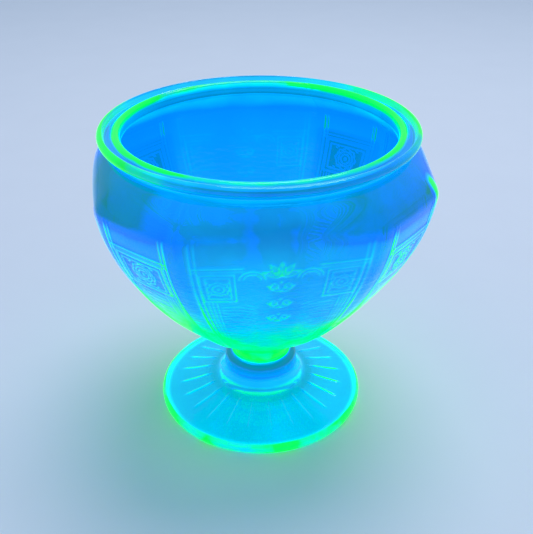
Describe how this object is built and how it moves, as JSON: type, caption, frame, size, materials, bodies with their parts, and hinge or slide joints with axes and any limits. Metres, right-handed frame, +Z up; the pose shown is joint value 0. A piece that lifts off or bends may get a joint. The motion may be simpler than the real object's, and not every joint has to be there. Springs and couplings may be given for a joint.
{
  "type": "footed candy dish",
  "caption": "Footed pressed-glass candy dish with a panelled bowl, a rolled rim with a lid ledge, a short stem and a round ribbed foot; it glows green under ultraviolet light.",
  "frame": {"origin": "centre of the surface that the foot stands on", "axes": "+Z up along the dish's axis; the four wide panels of the bowl face +X, +Y, -X and -Y"},
  "size_m": [0.101, 0.101, 0.1016],
  "materials": {
    "foot": "clear pale uranium glass, fire-polished, with radial ribs",
    "stem": "thick uranium glass, which glows the strongest green",
    "bowl": "clear pale uranium glass with pressed frames and rosettes",
    "rim": "fire-polished uranium glass"
  },
  "bodies": {
    "root": {"foot_disc": "foot", "foot_dome": "foot", "stem_collar": "stem", "bowl_base": "stem", "bowl_wall": "bowl", "shoulder": "bowl", "rim": "rim"}
  },
  "joints": []
}
